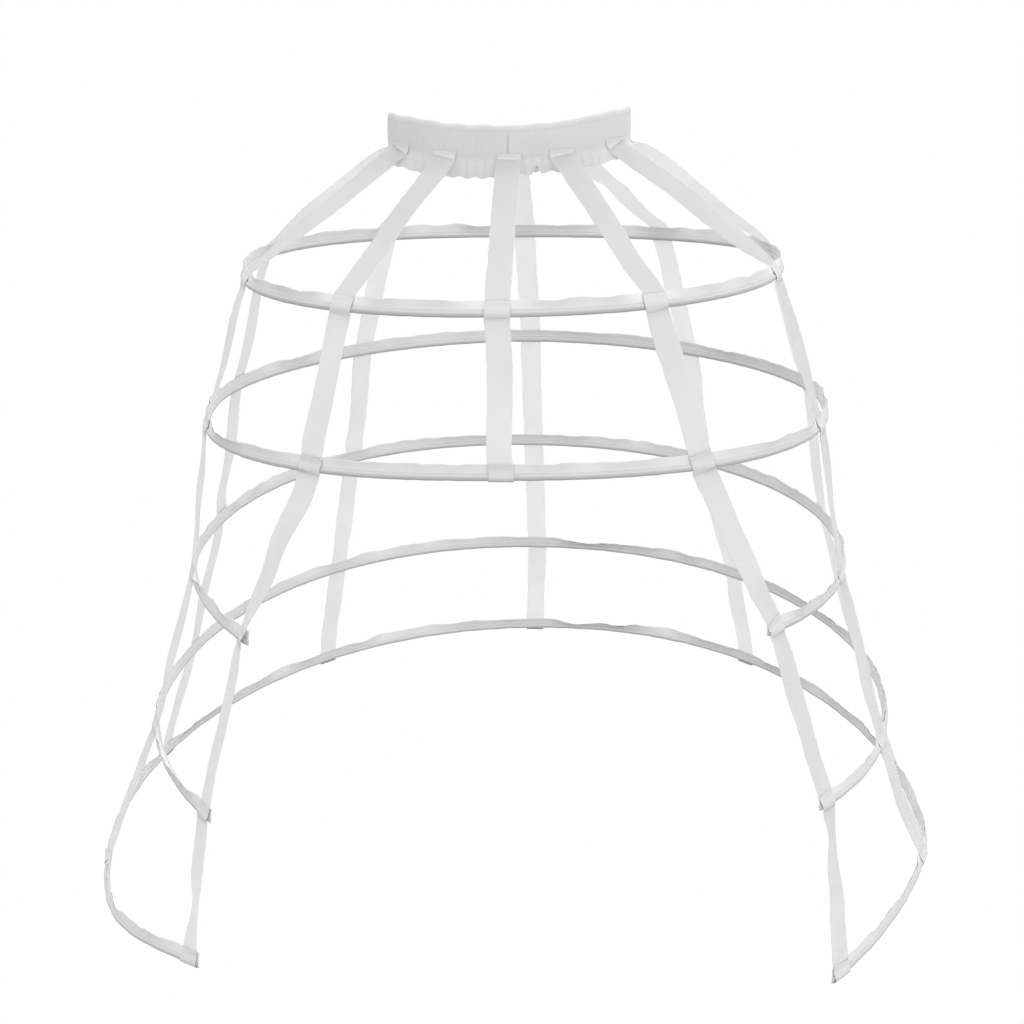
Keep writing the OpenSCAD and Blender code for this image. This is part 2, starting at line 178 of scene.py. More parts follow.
def mesh_object(name, verts, quads, uvs, material, tris=None):
    """verts in mm; quads (k, 4); uvs one pair per vertex, in mm."""
    me = bpy.data.meshes.new(name)
    quads = np.asarray(quads, np.int32)
    loops = quads.ravel()
    starts = np.arange(len(quads)) * 4
    totals = np.full(len(quads), 4)
    if tris is not None and len(tris):
        tris = np.asarray(tris, np.int32)
        starts = np.concatenate([starts, len(loops) + np.arange(len(tris)) * 3])
        totals = np.concatenate([totals, np.full(len(tris), 3)])
        loops = np.concatenate([loops, tris.ravel()])
    me.vertices.add(len(verts))
    me.vertices.foreach_set("co", (np.asarray(verts) * 0.001).astype(np.float32).ravel())
    me.loops.add(len(loops))
    me.loops.foreach_set("vertex_index", loops.astype(np.int32))
    me.polygons.add(len(starts))
    me.polygons.foreach_set("loop_start", starts.astype(np.int32))
    me.polygons.foreach_set("loop_total", totals.astype(np.int32))
    me.polygons.foreach_set("use_smooth", np.ones(len(starts), bool))
    layer = me.uv_layers.new(name="weave")
    layer.data.foreach_set("uv", np.asarray(uvs, np.float32)[loops].ravel())
    me.update(calc_edges=True)
    me.validate()
    me.set_sharp_from_angle(angle=math.radians(55))
    me.materials.append(material)
    ob = bpy.data.objects.new(name, me)
    bpy.context.scene.collection.objects.link(ob)
    return ob


def slab(name, front, back, u, v, material, closed=False):
    """A thin closed sheet from its two faces, (n, m, 3) each; front is on the left of u x v."""
    n, m = front.shape[:2]
    verts = np.concatenate([front.reshape(-1, 3), back.reshape(-1, 3)])
    uv = np.stack([np.broadcast_to(u[:, None], (n, m)) if u.ndim == 1 else u,
                   np.broadcast_to(v[None, :], (n, m)) if v.ndim == 1 else v], -1).reshape(-1, 2)
    uv = np.concatenate([uv, uv])
    r = np.arange(n if closed else n - 1)
    s = (r + 1) % n
    j = np.arange(m - 1)
    a = (r[:, None] * m + j).ravel()
    b = (s[:, None] * m + j).ravel()
    o = n * m
    quads = [np.stack([a, b, b + 1, a + 1], -1), np.stack([a + o, a + 1 + o, b + 1 + o, b + o], -1)]
    e0, f0 = r * m, s * m
    e1, f1 = r * m + m - 1, s * m + m - 1
    quads += [np.stack([e0, e0 + o, f0 + o, f0], -1), np.stack([e1, f1, f1 + o, e1 + o], -1)]
    if not closed:
        k = (n - 1) * m + j
        quads += [np.stack([j, j + 1, j + 1 + o, j + o], -1), np.stack([k, k + o, k + 1 + o, k + 1], -1)]
    return mesh_object(name, verts, np.concatenate(quads), uv, material)


def stitch_row(a, b, out, radius):
    """Arched stitches from points a to b, standing on a face whose outward direction is out."""
    k = len(a)
    f = np.array([0.0, 0.22, 0.78, 1.0])
    lift = np.array([-0.5, 0.55, 0.55, -0.5]) * radius
    size = np.array([0.45, 1.0, 1.0, 0.45]) * radius
    along = unit(b - a)
    side = unit(np.cross(out, along))
    up = np.cross(along, side)
    ang = (np.arange(4) + 0.5) * math.pi / 2
    c = a[:, None, :] + (b - a)[:, None, :] * f[None, :, None] + up[:, None, :] * lift[None, :, None]
    ring = (side[:, None, None, :] * np.cos(ang)[None, None, :, None] + up[:, None, None, :] * np.sin(ang)[None, None, :, None])
    p = c[:, :, None, :] + ring * size[None, :, None, None]          # k, 4, 4, 3
    return p.reshape(-1, 3), k


def stitch_object(name, sets, radius, material):
    """sets: list of (a, b, out) arrays."""
    a = np.concatenate([s[0] for s in sets])
    b = np.concatenate([s[1] for s in sets])
    o = np.concatenate([s[2] for s in sets])
    verts, k = stitch_row(a, b, o, radius)
    base = np.arange(k)[:, None] * 16
    q = []
    for r in range(3):
        for j in range(4):
            jj = (j + 1) % 4
            q.append(np.concatenate([base + r * 4 + j, base + r * 4 + jj, base + (r + 1) * 4 + jj, base + (r + 1) * 4 + j], 1))
    t = []
    for j in (1, 2):
        t.append(np.concatenate([base, base + j + 1, base + j], 1))
        t.append(np.concatenate([base + 12, base + 12 + j, base + 12 + j + 1], 1))
    uv = np.tile(np.stack([np.repeat(np.array([0, 0.6, 2.0, 2.6]), 4), np.tile(np.arange(4) * 0.4, 4)], -1), (k, 1))
    return mesh_object(name, verts, np.concatenate(q), uv, material, np.concatenate(t))


def along_line(line, out, pitch, length, closed=False, skip=None):
    """Evenly spaced stitches along a polyline."""
    if closed:
        line = np.concatenate([line, line[:1]])
        out = np.concatenate([out, out[:1]])
    d = np.concatenate([[0], np.cumsum(np.linalg.norm(np.diff(line, axis=0), axis=1))])
    count = int(d[-1] / pitch)
    s0 = (np.arange(count) + 0.5) * d[-1] / count - length / 2

    def at(x, q):
        return np.stack([np.interp(x, d, q[:, c]) for c in range(3)], -1)
    a, b, o = at(s0, line), at(s0 + length, line), unit(at(s0 + length / 2, out))
    return a, b, o


# ------------------------------------------------------------------ materials
def cloth_material(name, colour, weave, pitch, depth, crease, sheen, rough, thin=0.0):
    """White cotton: threads in the sheet's own coordinates, soft creases and slight unevenness in tone."""
    mat = bpy.data.materials.new(name)
    mat.use_nodes = True
    nt = mat.node_tree
    for n in list(nt.nodes):
        nt.nodes.remove(n)
    out = nt.nodes.new("ShaderNodeOutputMaterial")
    bsdf = nt.nodes.new("ShaderNodeBsdfPrincipled")
    if thin:                     # thin cloth lets light through
        through = nt.nodes.new("ShaderNodeBsdfTranslucent")
        mix = nt.nodes.new("ShaderNodeMixShader")
        mix.inputs[0].default_value = thin
        nt.links.new(bsdf.outputs[0], mix.inputs[1])
        nt.links.new(through.outputs[0], mix.inputs[2])
        nt.links.new(mix.outputs[0], out.inputs[0])
    else:
        nt.links.new(bsdf.outputs[0], out.inputs[0])
    bsdf.inputs["Sheen Weight"].default_value = sheen
    bsdf.inputs["Sheen Roughness"].default_value = 0.45
    bsdf.inputs["Specular IOR Level"].default_value = 0.25
    uv = nt.nodes.new("ShaderNodeUVMap")
    uv.uv_map = "weave"
    sep = nt.nodes.new("ShaderNodeSeparateXYZ")
    nt.links.new(uv.outputs[0], sep.inputs[0])

    def math_node(op, a, b=None, clamp=False):
        m = nt.nodes.new("ShaderNodeMath")
        m.operation = op
        m.use_clamp = clamp
        for k, v in enumerate((a, b)):
            if v is None:
                continue
            if isinstance(v, (int, float)):
                m.inputs[k].default_value = v
            else:
                nt.links.new(v, m.inputs[k])
        return m.outputs[0]

    u, v = sep.outputs[0], sep.outputs[1]
    turn = 2 * math.pi / pitch
    if weave == "herringbone":
        zig = math_node("PINGPONG", v, 3.1)
        diag = math_node("ADD", u, zig)
        rib = math_node("SINE", math_node("MULTIPLY", diag, turn))
        fine = math_node("SINE", math_node("MULTIPLY", v, turn * 1.9))
        height = math_node("ADD", math_node("MULTIPLY", rib, 0.36), math_node("MULTIPLY", fine, 0.14))
    else:
        a = math_node("SINE", math_node("MULTIPLY", u, turn))
        b = math_node("SINE", math_node("MULTIPLY", v, turn))
        height = math_node("MULTIPLY", math_node("MULTIPLY", a, b), 0.5)
    height = math_node("ADD", height, 0.5)

    coord = nt.nodes.new("ShaderNodeTexCoord")
    slub = nt.nodes.new("ShaderNodeTexNoise")
    slub.inputs["Scale"].default_value = 420.0
    slub.inputs["Detail"].default_value = 1.0
    nt.links.new(coord.outputs["Object"], slub.inputs["Vector"])
    soft = nt.nodes.new("ShaderNodeTexNoise")
    soft.inputs["Scale"].default_value = 55.0
    soft.inputs["Detail"].default_value = 4.0
    nt.links.new(coord.outputs["Object"], soft.inputs["Vector"])
    wide = nt.nodes.new("ShaderNodeTexNoise")
    wide.inputs["Scale"].default_value = 14.0
    wide.inputs["Detail"].default_value = 2.0
    nt.links.new(coord.outputs["Object"], wide.inputs["Vector"])

    # tone: painted shade in the dips between threads, taken from the weave's height, plus slubs and broad unevenness
    tone = math_node("ADD", math_node("MULTIPLY", height, 0.08), math_node("MULTIPLY", slub.outputs[0], 0.1))
    tone = math_node("ADD", math_node("ADD", tone, 0.16), math_node("MULTIPLY", wide.outputs[0], 0.5), clamp=True)
    ramp = nt.nodes.new("ShaderNodeValToRGB")
    ramp.color_ramp.elements[0].position = 0.25
    ramp.color_ramp.elements[0].color = (colour[0] * 0.94, colour[1] * 0.94, colour[2] * 0.937, 1)
    ramp.color_ramp.elements[1].position = 0.75
    ramp.color_ramp.elements[1].color = (min(1, colour[0] * 1.03), min(1, colour[1] * 1.03), min(1, colour[2] * 1.033), 1)
    nt.links.new(tone, ramp.inputs[0])
    nt.links.new(ramp.outputs[0], bsdf.inputs["Base Color"])
    rr = math_node("ADD", math_node("MULTIPLY", wide.outputs[0], 0.2), rough - 0.1, clamp=True)
    nt.links.new(rr, bsdf.inputs["Roughness"])

    b1 = nt.nodes.new("ShaderNodeBump")
    b1.inputs["Strength"].default_value = 0.55
    b1.inputs["Distance"].default_value = crease
    nt.links.new(soft.outputs[0], b1.inputs["Height"])
    b2 = nt.nodes.new("ShaderNodeBump")
    b2.inputs["Strength"].default_value = 0.6
    b2.inputs["Distance"].default_value = depth
    nt.links.new(height, b2.inputs["Height"])
    nt.links.new(b1.outputs[0], b2.inputs["Normal"])
    nt.links.new(b2.outputs[0], bsdf.inputs["Normal"])
    if thin:
        nt.links.new(ramp.outputs[0], through.inputs["Color"])
        nt.links.new(b2.outputs[0], through.inputs["Normal"])
    return mat


def thread_material(name, colour):
    mat = bpy.data.materials.new(name)
    mat.use_nodes = True
    nt = mat.node_tree
    bsdf = nt.nodes["Principled BSDF"]
    bsdf.inputs["Roughness"].default_value = 0.7
    bsdf.inputs["Sheen Weight"].default_value = 0.2
    uv = nt.nodes.new("ShaderNodeUVMap")
    uv.uv_map = "weave"
    wave = nt.nodes.new("ShaderNodeTexWave")
    wave.wave_type = "BANDS"
    wave.bands_direction = "DIAGONAL"
    wave.inputs["Scale"].default_value = 1.6
    nt.links.new(uv.outputs[0], wave.inputs["Vector"])
    # darker along the grooves between the plies, from the same bands as the bump: painted shade
    ramp = nt.nodes.new("ShaderNodeValToRGB")
    ramp.color_ramp.elements[0].color = (colour[0] * 0.86, colour[1] * 0.86, colour[2] * 0.85, 1)
    ramp.color_ramp.elements[1].color = (colour[0], colour[1], colour[2], 1)
    nt.links.new(wave.outputs[1], ramp.inputs[0])
    nt.links.new(ramp.outputs[0], bsdf.inputs["Base Color"])
    bump = nt.nodes.new("ShaderNodeBump")
    bump.inputs["Strength"].default_value = 0.5
    bump.inputs["Distance"].default_value = 0.00008
    nt.links.new(wave.outputs[1], bump.inputs["Height"])
    nt.links.new(bump.outputs[0], bsdf.inputs["Normal"])
    return mat


def hard_material(name, colour, metallic, rough, scale, spread):
    """Drawn steel, crimped sleeve or moulded tip: fine drawn scratches or a faint mould texture."""
    mat = bpy.data.materials.new(name)
    mat.use_nodes = True
    nt = mat.node_tree
    bsdf = nt.nodes["Principled BSDF"]
    bsdf.inputs["Metallic"].default_value = metallic
    coord = nt.nodes.new("ShaderNodeTexCoord")
    noise = nt.nodes.new("ShaderNodeTexNoise")
    noise.inputs["Scale"].default_value = scale
    noise.inputs["Detail"].default_value = 5.0
    nt.links.new(coord.outputs["Object"], noise.inputs["Vector"])
    ramp = nt.nodes.new("ShaderNodeValToRGB")
    ramp.color_ramp.elements[0].position = 0.3
    ramp.color_ramp.elements[1].position = 0.7
    ramp.color_ramp.elements[0].color = (colour[0] * (1 - spread), colour[1] * (1 - spread), colour[2] * (1 - spread), 1)
    ramp.color_ramp.elements[1].color = (colour[0], colour[1], colour[2], 1)
    nt.links.new(noise.outputs[0], ramp.inputs[0])
    nt.links.new(ramp.outputs[0], bsdf.inputs["Base Color"])
    m = nt.nodes.new("ShaderNodeMath")
    m.operation = "MULTIPLY_ADD"
    m.inputs[1].default_value = 0.25
    m.inputs[2].default_value = rough
    nt.links.new(noise.outputs[0], m.inputs[0])
    nt.links.new(m.outputs[0], bsdf.inputs["Roughness"])
    bump = nt.nodes.new("ShaderNodeBump")
    bump.inputs["Strength"].default_value = 0.2
    bump.inputs["Distance"].default_value = 0.0001
    nt.links.new(noise.outputs[0], bump.inputs["Height"])
    nt.links.new(bump.outputs[0], bsdf.inputs["Normal"])
    return mat


WHITE = (0.80, 0.80, 0.80)
TAPE_MAT = cloth_material("twill_tape", (0.96, 0.96, 0.96), "herringbone", 1.5, 0.0001, 0.0007, 0.05, 0.86, 0.68)
# a darker, opaque copy of the tape for where it lies on the waistband and the hoops: painted shade
TAPE_SHADE_MAT = cloth_material("twill_tape_painted_shade", (0.76, 0.76, 0.76), "herringbone", 1.5, 0.0001, 0.0005, 0.05, 0.86)
CASING_MAT = cloth_material("casing_cotton", (0.87, 0.87, 0.87), "plain", 0.75, 0.00006, 0.0010, 0.05, 0.88)
# a grey copy of the casing cotton for the top of the tube round the bone: painted shade
TUBE_SHADE_MAT = cloth_material("casing_cotton_painted_tube_shade", (0.7, 0.7, 0.7), "plain", 0.75, 0.00006, 0.0006, 0.05, 0.88)
# a darker copy of the casing cotton for the tube's lower faces: painted shadow of the bone inside, and painted shade
# under the tube
BONE_SHADOW_MAT = cloth_material("casing_cotton_painted_bone_shadow", (0.62, 0.62, 0.62), "plain", 0.75, 0.00006, 0.0006, 0.05, 0.88)
BAND_MAT = cloth_material("waist_cotton", (0.765, 0.765, 0.765), "plain", 0.75, 0.00006, 0.0007, 0.05, 0.88)
THREAD_MAT = thread_material("sewing_thread", (0.90, 0.90, 0.89))
ELASTIC_MAT = cloth_material("braided_elastic", (0.76, 0.76, 0.74), "herringbone", 1.1, 0.0003, 0.0004, 0.05, 0.75)
STEEL_MAT = hard_material("spring_steel", (0.56, 0.57, 0.58), 1.0, 0.28, 900.0, 0.2)
JOINER_MAT = hard_material("crimped_sleeve", (0.60, 0.60, 0.58), 1.0, 0.35, 500.0, 0.25)
TIP_MAT = hard_material("moulded_tip", (0.78, 0.78, 0.76), 0.0, 0.4, 300.0, 0.08)

pieces = []


def place(ob, nodes):
    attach(ob, "root")
    if nodes:
        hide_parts(*nodes)
    pieces.append(ob)
    return ob


# ------------------------------------------------------------------ tapes
def tape_positions(i):
    """Tape angles on hoop i, in 0 to 360."""
    t = list(RIGHT[i]) + [360 - a for a in LEFT[i]] + [180.0]
    if i < 2:
        t.append(0.0)
    return t


COLS = np.array([-12.5, -12.1, -10.4, -7.8, -5.2, -2.6, 0, 2.6, 5.2, 7.8, 10.4, 12.1, 12.5])
# How far a tape's outer face turns to the front about its own length, in degrees: place is 0 at the waistband and 1, 2 ... at the hoops
TURN = {
    "front_centre_tape": [(0, 0), (0.5, 2), (1, 0), (1.5, -3), (2, 0)],
    "back_centre_tape": [(0, 0), (0.5, -4), (1, 0), (1.5, 3), (2, 0), (2.5, 0), (3, 0), (3.5, -6), (4, 0), (4.6, -14), (4.9, -6), (5, -1)],
    "front_tape_left": [(0, 0), (0.5, -3), (1, 0), (1.5, -2), (2, 0), (2.25, -8), (2.5, -11), (2.75, -17), (2.95, -26), (3, -24), (3.05, -16), (3.15, -11), (3.5, -11), (3.85, -8), (4, -3), (4.1, -3), (4.4, -5), (4.64, -26), (4.75, -20), (4.92, -4), (5, 0)],
    "front_tape_right": [(0, 0), (0.5, -2), (1, 0), (1.5, 2), (2, 0), (2.5, 3), (3, 0), (3.5, 4), (3.9, 0), (4, 0), (4.12, -14), (4.4, -9), (4.7, -3), (5, 0)],
    "side_front_tape_left": [(0, 0), (0.15, 12), (0.5, 12), (0.9, 6), (1, 2), (1.3, 4), (1.7, 2), (1.93, 2.5), (2, 2.5), (2.07, 3), (2.5, 6), (2.93, 6), (3, 2), (3.1, 10), (3.5, 9), (3.9, 6), (4, 3), (4.3, 8), (4.7, 10), (5, 4)],
    "side_front_tape_right": [(0, 0), (0.15, 4), (0.3, 10), (0.5, 17), (0.75, 22), (0.9, 14), (0.97, 4), (1, 1), (1.06, 4), (1.2, 12), (1.6, 12), (1.9, 3), (2, 0), (2.1, 4), (2.5, -2), (3, 2), (3.2, 14), (3.6, 16), (3.9, 8), (4, 2), (4.2, 10), (4.5, 16), (4.8, 12), (4.95, 4), (5, 1)],
    "side_back_tape_left": [(0, 0), (0.1, -32), (0.25, -42), (0.5, -32), (0.75, -18), (0.92, -6), (1, 0), (1.5, -2), (2, 0), (2.5, -2), (3, 0), (3.5, -3), (4, 0), (4.5, -4), (5, 0)],
    "side_back_tape_right": [(0, 0), (0.08, -45), (0.22, -55), (0.5, -32), (0.75, -27), (0.93, -12), (1, 0), (1.3, -10), (1.7, -12), (1.93, -5), (2, -1), (2.07, -3), (2.5, -6), (3, -4), (3.5, -8), (4, 0), (4.5, -4), (5, 0)],
    "back_tape_left": [(0, 0), (0.5, 4), (1, 0), (1.5, -3), (2, 0), (2.5, 2), (3, 0), (3.5, 2), (4, 0), (4.5, -3), (5, 0)],
    "back_tape_right": [(0, 0), (0.5, 4), (1, 0), (1.5, -5), (2, 0), (2.5, 3), (3, 0), (3.5, -2), (4, 0), (4.5, -3), (5, 0)],
}
BELOW = (3.7, -3.1)      # where a tape leaves the underside of a hoop: out, up
ABOVE = (1.4, 4.8)      # where it comes on to a hoop, just above the bone
SEWN_LEAN = 30.0         # the furthest the casing's edge is pulled inwards where a tape is sewn to it


def tape_slope(k, t, waist_t, before_t):
    """How far a tape coming down to hoop k leans inwards, in degrees from upright."""
    base = hoop_point(k, np.array([t]), np.array([ABOVE[0]]), ABOVE[1])[0]
    above = waist_point(np.array([waist_t]), np.array([3.05]), -10.5)[0] if k == 0 else hoop_point(k - 1, np.array([before_t]), np.array([BELOW[0]]), BELOW[1])[0]
    out = unit(hoop_basis(k, np.array([t]))[1])[0]
    d = above - base
    return math.degrees(math.atan2(-float(d @ out), float(d[2])))


TAPES = [("front_centre_tape", 0.0, [0.0, 0.0]), ("back_centre_tape", 180.0, [180.0] * 5)]
for k, word in enumerate(("front_tape", "side_front_tape", "side_back_tape", "back_tape")):
    TAPES.append((word + "_left", 360.0 - WAIST_L[k], [360.0 - LEFT[i][k] for i in range(5)]))
    TAPES.append((word + "_right", float(WAIST_R[k]), [float(RIGHT[i][k]) for i in range(5)]))
SLOPES = [[] for _ in range(5)]          # per hoop: (tape's angle, its inward lean)
for name, wt, ht in TAPES:
    for k, t in enumerate(ht):
        SLOPES[k].append((t, min(SEWN_LEAN, tape_slope(k, t, wt, ht[k - 1]))))
tape_stitches = []
tape_objects = {}


def make_tape(name, waist_t, hoop_t, seed):
    rows, mark = [], []
    for out, up in ((2.95, -4.5), (2.95, -7.5), (3.05, -10.5)):
        per = np.linalg.norm(waist_way(waist_t))
        rows.append(waist_point(waist_t + COLS / per, np.full(len(COLS), out), up))
        mark.append(0.0)
    last = len(hoop_t) - 1
    for k, t in enumerate(hoop_t):
        tt = t + COLS / mm_per_degree(k, t)
        over = [ABOVE, (3.35, 3.5), (4.4, 1.45), (4.45, -1.25), BELOW]
        if tape_slope(k, t, waist_t, hoop_t[k - 1]) > SEWN_LEAN:
            lean_in = math.radians(SEWN_LEAN)
            rows.append(hoop_point(k, tt, np.full(len(COLS), ABOVE[0] - 8.6 * math.sin(lean_in)), ABOVE[1] + 8.6 * math.cos(lean_in)))
            mark.append(k + 0.99)
        if k == last:
            over += [(2.05, -4.45), (-0.6, -4.85), (-2.45, -4.35)]
        for out, up in over:
            rows.append(hoop_point(k, tt, np.full(len(COLS), out), up))
            mark.append(k + 1.0)
    rows, mark = np.array(rows), np.array(mark)
    mid = rows[:, 6]
    d = np.concatenate([[0], np.cumsum(np.linalg.norm(np.diff(mid, axis=0), axis=1))])
    n = int(d[-1] / 2.2) + 1
    s = np.linspace(0, d[-1], n)
    j = np.clip(np.searchsorted(d, s, side="right") - 1, 0, len(d) - 2)
    f = ((s - d[j]) / (d[j + 1] - d[j]))[:, None, None]
    p = rows[j] * (1 - f) + rows[j + 1] * f
    q = np.interp(s, d, mark)
    p = smooth_rows(p, 1.0)
    c = p[:, 6]
    tang = unit(np.gradient(c, axis=0))
    wide = p[:, -1] - p[:, 0]
    wide = unit(wide - tang * np.sum(wide * tang, 1, keepdims=True))
    out = np.cross(tang, wide)
    free = np.minimum(1, np.abs(q - np.round(q)) * 8)              # 0 where the tape is sewn down
    side = -1 if name.endswith("left") else 1
    phi = side * np.radians(smooth_rows(ease(q, TURN[name])[:, None], 4)[:, 0] + free * 2 * waves(s, seed, 90, 240))
    curl = free * 0.6 * waves(s, seed + 1, 60, 200)
    sway = free * 0.7 * waves(s, seed + 2, 120, 400)
    bulge = free * (0.9 * waves(s, seed + 3, 100, 300))
    wid = 1 + 0.012 * waves(s, seed + 4, 25, 120)
    x = COLS[None, :] * wid[:, None]
    edge = 0.18 * np.stack([waves(s, seed + 5, 7, 40), waves(s, seed + 6, 7, 40)], 1)
    x = x + np.where(COLS < -10, edge[:, :1], 0) + np.where(COLS > 10, edge[:, 1:], 0)
    rel = p - c[:, None, :]
    lie = np.sum(rel * out[:, None, :], -1)                        # follows the hoop's own roundness
    pucker = (1 - free)[:, None] * 0.12 * np.sin(COLS[None, :] / 12.5 * 9 + waves(s, seed + 7, 8, 20)[:, None])
    h = lie + curl[:, None] * ((COLS / 12.5) ** 2 - 0.33)[None, :] + pucker
    wq = wide[:, None, :] * np.cos(phi)[:, None, None] + out[:, None, :] * np.sin(phi)[:, None, None]
    nq = out[:, None, :] * np.cos(phi)[:, None, None] - wide[:, None, :] * np.sin(phi)[:, None, None]
    mid3 = (c + wide * sway[:, None] + out * bulge[:, None])[:, None, :] + wq * x[..., None] + nq * h[..., None]
    du = np.gradient(mid3, axis=0)
    dv = np.gradient(mid3, axis=1)
    nn = unit(np.cross(du, dv))
    thick = 0.8 - 0.25 * (np.abs(COLS) > 12.3)
    front = mid3 + nn * (thick / 2)[None, :, None]
    back = mid3 - nn * (thick / 2)[None, :, None]
    ob = slab(name, front, back, s, COLS + 12.5, TAPE_MAT)
    ob.data.materials.append(TAPE_SHADE_MAT)
    row = (s[:-1] + s[1:]) / 2
    # the rows lying on the waistband and round each hoop take the darker copy of the tape: painted shade
    sewn_down_shade = row < d[2] + 1
    for k in range(len(hoop_t)):
        on = d[mark == k + 1.0]
        sewn_down_shade |= (row > on[0] - 8.5) & (row < on[-1] + 0.5)
    kind = np.tile(np.repeat(sewn_down_shade.astype(np.int32), len(COLS) - 1), 2)
    kind = np.concatenate([kind, np.zeros(len(ob.data.polygons) - len(kind), np.int32)])
    ob.data.polygons.foreach_set("material_index", kind)
    place(ob, [name])
    # sewn across at every hoop, just above the bone and near the casing's edge, and to the waistband
    first = {}
    for r, m in enumerate(mark):
        first.setdefault(m, r)
    for at in [1.6, 5.4] + [d[first[k + 1.0]] - x for k in range(len(hoop_t)) for x in (0.8, 7.4)]:
        g = int(np.clip(np.searchsorted(s, at), 1, n - 2))
        tape_stitches.append(along_line(front[g, 1:-1], nn[g, 1:-1], 3.1, 2.3))
    tape_objects[name] = ob
    return ob


for k, (name, wt, ht) in enumerate(TAPES):
    make_tape(name, wt, ht, 1000 + 20 * k)

# ------------------------------------------------------------------ hoop casings
# How far the casing's free edge leans inwards, in degrees, at angles round the hoop (left is negative)
EDGE_LEAN = [
    [(-180, 32), (-170, 35), (-164, 10), (-158, -5), (-150, 0), (-138, 15), (-130, 20), (-120, 10), (-100, 5), (-60, -5), (-46, -15), (-20, 0), (0, 0), (50, 0), (90, 5), (115, 10), (130, 0), (150, 0), (162, 0), (169, 22), (174, 38), (180, 32)],
    [(-180, 8), (-160, 10), (-140, 5), (-122, 25), (-115, 5), (-100, 10), (-80, 0), (-54, -38), (-46, -10), (-30, -5), (0, 0), (30, 0), (50, -10), (62, -20), (90, 0), (110, 30), (118, 20), (126, 35), (136, 38), (144, 30), (155, 20), (165, 35), (171, 35), (180, 8)],
    [(-180, 35), (-170, 40), (-162, 25), (-155, 10), (-145, 5), (-130, 10), (-120, 0), (-112, 20), (-95, 12), (-78, -10), (-70, -35), (-64, 0), (-56, -10), (-46, -5), (48, 0), (62, -20), (70, -25), (90, 0), (112, 20), (130, 12), (150, 5), (165, 10), (172, 30), (180, 35)],
    [(-180, 40), (-174, 20), (-163, 5), (-150, 0), (-134, -5), (-125, 20), (-110, 10), (-90, 8), (-74, -20), (-64, -45), (-58, -35), (-50, -15), (50, 0), (62, 0), (72, -10), (90, 0), (112, 35), (118, 50), (128, 35), (140, 30), (147, 10), (151, 40), (155, 10), (160, 40), (166, 60), (172, 72), (180, 40)],
    [(-180, 45), (-170, 30), (-162, 5), (-155, -5), (-148, 35), (-142, 40), (-135, 15), (-119, 55), (-112, 58), (-100, 20), (-85, 10), (-70, 0), (-44, 0), (46, 0), (58, 0), (66, -15), (75, 0), (100, -5), (113, 30), (122, 30), (128, 15), (137, 50), (143, 45), (150, 45), (154, 15), (158, -10), (162, 30), (167, 70), (173, 75), (180, 45)],
]
CLOTH = 0.45
TUBE_R = 3.28
hoop_objects, hoop_lengths = [], []


